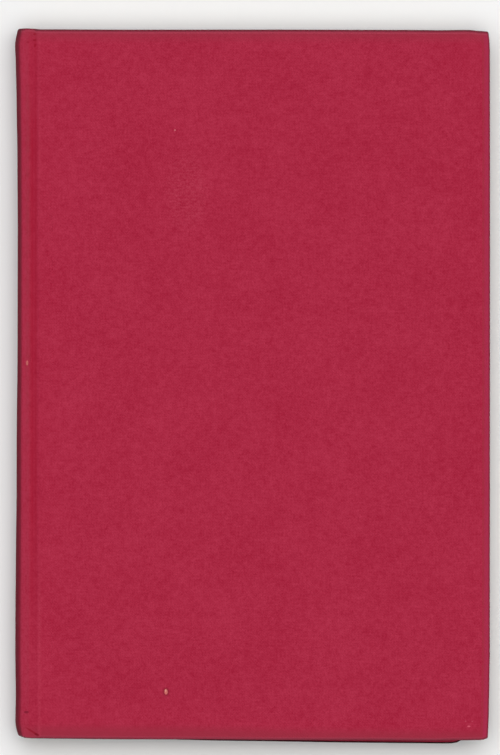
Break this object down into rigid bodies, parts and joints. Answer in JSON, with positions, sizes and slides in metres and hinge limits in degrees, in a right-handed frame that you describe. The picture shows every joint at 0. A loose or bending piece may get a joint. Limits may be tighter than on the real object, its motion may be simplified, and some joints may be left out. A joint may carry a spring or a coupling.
{
  "type": "hardback book",
  "caption": "Closed cloth-covered hardback book with a rounded spine, pressed hinge grooves and front and rear covers that swing open on the spine.",
  "frame": {"origin": "middle of the closed book's outline, on the outer face of the rear cover", "axes": "+X from spine to fore-edge, +Y from tail to head, +Z from rear cover to front cover"},
  "size_m": [0.1484, 0.223, 0.0261],
  "materials": {
    "cover_cloth": "fine plain-weave crimson book cloth, matte",
    "pages": "cut page edges, lightly toned, matte",
    "endpaper": "smooth cream endpaper, matte",
    "headband": "woven bead, matte",
    "mull": "open-weave starched mull, matte",
    "lining": "kraft paper lining, matte",
    "card": "grey spine card, matte",
    "board": "grey binder's board, matte"
  },
  "bodies": {
    "book_block": {"text_block": "pages", "front_flyleaf": "endpaper", "rear_flyleaf": "endpaper", "headband": "headband", "tailband": "headband", "spine_mull": "mull", "spine_lining": "lining", "spine_inlay": "card", "spine_cloth": "cover_cloth"},
    "front_cover": {"front_board": "board", "front_cloth": "cover_cloth", "front_pastedown": "endpaper", "front_mull": "mull"},
    "rear_cover": {"rear_board": "board", "rear_cloth": "cover_cloth", "rear_pastedown": "endpaper", "rear_mull": "mull"}
  },
  "joints": [
    {"name": "front_hinge", "type": "hinge", "parent": "book_block", "child": "front_cover", "pos_m": [-0.06883, 0, 0.0261], "axis": [0, -1, 0], "range_deg": [0, 180]},
    {"name": "rear_hinge", "type": "hinge", "parent": "book_block", "child": "rear_cover", "pos_m": [-0.06883, 0, 0], "axis": [0, 1, 0], "range_deg": [0, 180]}
  ]
}
